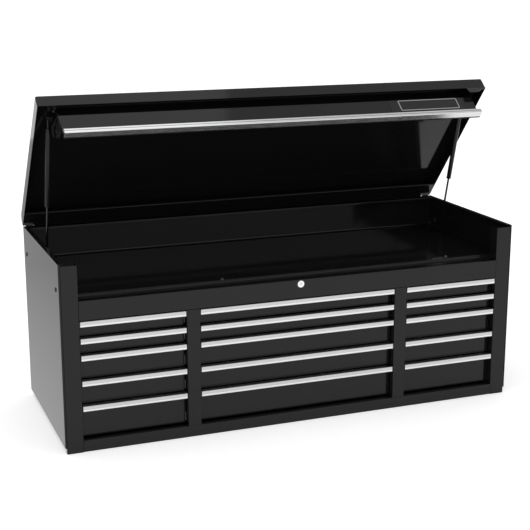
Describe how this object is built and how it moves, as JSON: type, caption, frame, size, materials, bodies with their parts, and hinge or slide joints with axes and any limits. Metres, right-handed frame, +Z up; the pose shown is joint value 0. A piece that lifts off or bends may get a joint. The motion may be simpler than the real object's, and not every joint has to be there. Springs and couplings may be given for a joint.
{
  "type": "machinist tool chest",
  "caption": "Wide black steel tool chest with rows of shallow drawers, full-width aluminium pulls and a hinged lid on gas struts over a top till",
  "frame": {"origin": "middle of the flat base that the chest stands on", "axes": "+X to the right seen from the front, the drawers face -Y, +Z up"},
  "size_m": [1.681, 0.6552, 1.1554],
  "materials": {
    "black_paint": "semi-gloss powder coat",
    "pull_aluminium": "satin anodised extrusion",
    "zinc_steel": "zinc plated",
    "bright_steel": "polished",
    "dark_steel": "black nitrided rod",
    "black_plastic": "matte"
  },
  "bodies": {
    "chest": {"side_panel_left": "black_paint", "side_panel_right": "black_paint", "front_stile_left": "black_paint", "front_stile_right": "black_paint", "divider_left": "black_paint", "divider_right": "black_paint", "inner_walls": "black_paint", "bottom_rail": "black_paint", "top_rail": "black_paint", "base_pan": "black_paint", "back_panel": "black_paint", "till_floor": "black_paint", "slide_channels": "zinc_steel", "lock_body": "bright_steel", "hinge_leaf_case": "black_paint", "hinge_pin": "zinc_steel", "strut_brackets_lower": "black_paint", "side_plugs": "black_plastic"},
    "lid": {"lid_shell": "black_paint", "lid_rear_rail": "black_paint", "front_panel": "black_paint", "panel_cheeks": "black_paint", "lid_pull": "pull_aluminium", "hinge_leaf_lid": "black_paint", "strut_brackets_upper": "black_paint"},
    "lock_plug": {"lock_plug": "bright_steel"},
    "strut_rod_left": {"strut_rod_left": "dark_steel"},
    "strut_tube_left": {"strut_tube_left": "black_paint"},
    "strut_rod_right": {"strut_rod_right": "dark_steel"},
    "strut_tube_right": {"strut_tube_right": "black_paint"},
    "drawer_left_1": {"drawer_left_1": "black_paint", "pull_left_1": "pull_aluminium"},
    "drawer_left_2": {"drawer_left_2": "black_paint", "pull_left_2": "pull_aluminium"},
    "drawer_left_3": {"drawer_left_3": "black_paint", "pull_left_3": "pull_aluminium"},
    "drawer_left_4": {"drawer_left_4": "black_paint", "pull_left_4": "pull_aluminium"},
    "drawer_left_5": {"drawer_left_5": "black_paint", "pull_left_5": "pull_aluminium"},
    "drawer_centre_1": {"drawer_centre_1": "black_paint", "pull_centre_1": "pull_aluminium"},
    "drawer_centre_2": {"drawer_centre_2": "black_paint", "pull_centre_2": "pull_aluminium"},
    "drawer_centre_3": {"drawer_centre_3": "black_paint", "pull_centre_3": "pull_aluminium"},
    "drawer_centre_4": {"drawer_centre_4": "black_paint", "pull_centre_4": "pull_aluminium"},
    "drawer_centre_5": {"drawer_centre_5": "black_paint", "pull_centre_5": "pull_aluminium"},
    "drawer_right_1": {"drawer_right_1": "black_paint", "pull_right_1": "pull_aluminium"},
    "drawer_right_2": {"drawer_right_2": "black_paint", "pull_right_2": "pull_aluminium"},
    "drawer_right_3": {"drawer_right_3": "black_paint", "pull_right_3": "pull_aluminium"},
    "drawer_right_4": {"drawer_right_4": "black_paint", "pull_right_4": "pull_aluminium"},
    "drawer_right_5": {"drawer_right_5": "black_paint", "pull_right_5": "pull_aluminium"}
  },
  "joints": [
    {"name": "lid_hinge", "type": "hinge", "parent": "chest", "child": "lid", "pos_m": [0, 0.3141, 0.639], "axis": [1, 0, 0], "range_deg": [0, 50]},
    {"name": "lock_turn", "type": "hinge", "parent": "chest", "child": "lock_plug", "pos_m": [0, -0.3105, 0.5055], "axis": [0, 1, 0], "range_deg": [0, 90]},
    {"name": "strut_left_swing", "type": "hinge", "parent": "chest", "child": "strut_rod_left", "pos_m": [-0.789, 0.1375, 0.543], "axis": [1, 0, 0], "range_deg": [0, 54.71]},
    {"name": "strut_left_stroke", "type": "slide", "parent": "strut_rod_left", "child": "strut_tube_left", "axis": [0, 0.2462, -0.9692], "range_m": [0, 0.16573]},
    {"name": "strut_right_swing", "type": "hinge", "parent": "chest", "child": "strut_rod_right", "pos_m": [0.789, 0.1375, 0.543], "axis": [1, 0, 0], "range_deg": [0, 54.71]},
    {"name": "strut_right_stroke", "type": "slide", "parent": "strut_rod_right", "child": "strut_tube_right", "axis": [0, 0.2462, -0.9692], "range_m": [0, 0.16573]},
    {"name": "drawer_left_1_slide", "type": "slide", "parent": "chest", "child": "drawer_left_1", "axis": [0, -1, 0], "range_m": [0, 0.42]},
    {"name": "drawer_left_2_slide", "type": "slide", "parent": "chest", "child": "drawer_left_2", "axis": [0, -1, 0], "range_m": [0, 0.42]},
    {"name": "drawer_left_3_slide", "type": "slide", "parent": "chest", "child": "drawer_left_3", "axis": [0, -1, 0], "range_m": [0, 0.42]},
    {"name": "drawer_left_4_slide", "type": "slide", "parent": "chest", "child": "drawer_left_4", "axis": [0, -1, 0], "range_m": [0, 0.42]},
    {"name": "drawer_left_5_slide", "type": "slide", "parent": "chest", "child": "drawer_left_5", "axis": [0, -1, 0], "range_m": [0, 0.42]},
    {"name": "drawer_centre_1_slide", "type": "slide", "parent": "chest", "child": "drawer_centre_1", "axis": [0, -1, 0], "range_m": [0, 0.42]},
    {"name": "drawer_centre_2_slide", "type": "slide", "parent": "chest", "child": "drawer_centre_2", "axis": [0, -1, 0], "range_m": [0, 0.42]},
    {"name": "drawer_centre_3_slide", "type": "slide", "parent": "chest", "child": "drawer_centre_3", "axis": [0, -1, 0], "range_m": [0, 0.42]},
    {"name": "drawer_centre_4_slide", "type": "slide", "parent": "chest", "child": "drawer_centre_4", "axis": [0, -1, 0], "range_m": [0, 0.42]},
    {"name": "drawer_centre_5_slide", "type": "slide", "parent": "chest", "child": "drawer_centre_5", "axis": [0, -1, 0], "range_m": [0, 0.42]},
    {"name": "drawer_right_1_slide", "type": "slide", "parent": "chest", "child": "drawer_right_1", "axis": [0, -1, 0], "range_m": [0, 0.42]},
    {"name": "drawer_right_2_slide", "type": "slide", "parent": "chest", "child": "drawer_right_2", "axis": [0, -1, 0], "range_m": [0, 0.42]},
    {"name": "drawer_right_3_slide", "type": "slide", "parent": "chest", "child": "drawer_right_3", "axis": [0, -1, 0], "range_m": [0, 0.42]},
    {"name": "drawer_right_4_slide", "type": "slide", "parent": "chest", "child": "drawer_right_4", "axis": [0, -1, 0], "range_m": [0, 0.42]},
    {"name": "drawer_right_5_slide", "type": "slide", "parent": "chest", "child": "drawer_right_5", "axis": [0, -1, 0], "range_m": [0, 0.42]}
  ],
  "couplings": [
    {"joint": "strut_left_swing", "follows": "lid_hinge", "ratio": 1.094},
    {"joint": "strut_left_stroke", "follows": "lid_hinge", "m_per_rad": 0.1898},
    {"joint": "strut_right_swing", "follows": "lid_hinge", "ratio": 1.094},
    {"joint": "strut_right_stroke", "follows": "lid_hinge", "m_per_rad": 0.1898}
  ]
}
